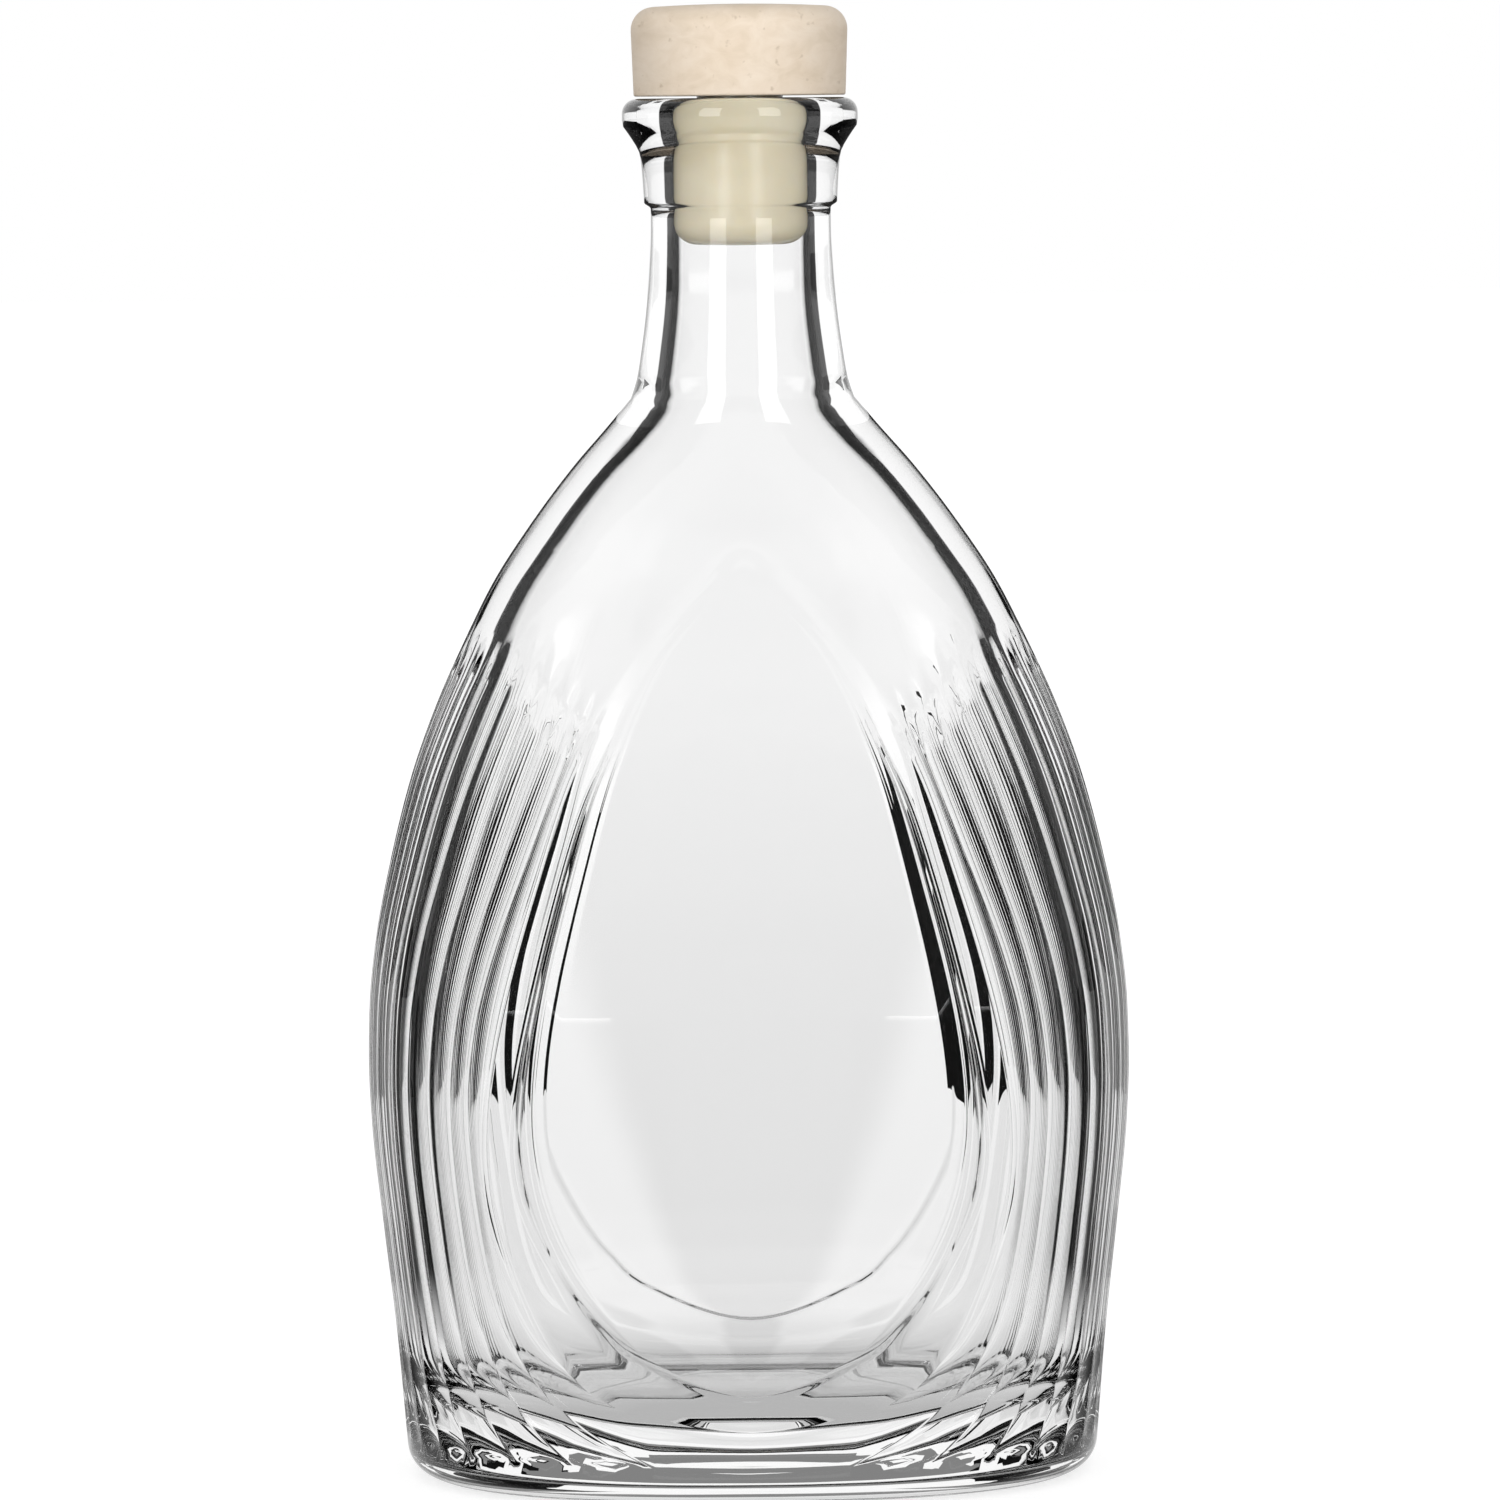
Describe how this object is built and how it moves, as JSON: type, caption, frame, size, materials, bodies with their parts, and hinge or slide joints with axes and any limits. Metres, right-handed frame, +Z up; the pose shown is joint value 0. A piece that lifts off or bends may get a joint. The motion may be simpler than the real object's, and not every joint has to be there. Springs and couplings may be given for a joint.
{
  "type": "corked bottle",
  "caption": "Clear glass bottle with a flattened fluted body and smooth front and back panels, closed by a stopper with a wooden cap and a synthetic cork shank.",
  "frame": {"origin": "centre of the base, on the plane that the bottle stands on", "axes": "+Z up through the neck; X across the wide face of the body; Y through its depth, with the front panel looking towards -Y"},
  "size_m": [0.107, 0.0662, 0.2056],
  "materials": {
    "bottle": "clear flint glass, polished",
    "stopper_cap": "pale beech, matt sealed",
    "stopper_plug": "foamed synthetic cork, satin skin"
  },
  "bodies": {
    "bottle": {"bottle": "bottle"},
    "stopper": {"stopper_cap": "stopper_cap", "stopper_plug": "stopper_plug"}
  },
  "joints": [
    {"name": "stopper_lift", "type": "slide", "parent": "bottle", "child": "stopper", "axis": [0, 0, 1], "range_m": [0, 0.035]}
  ]
}
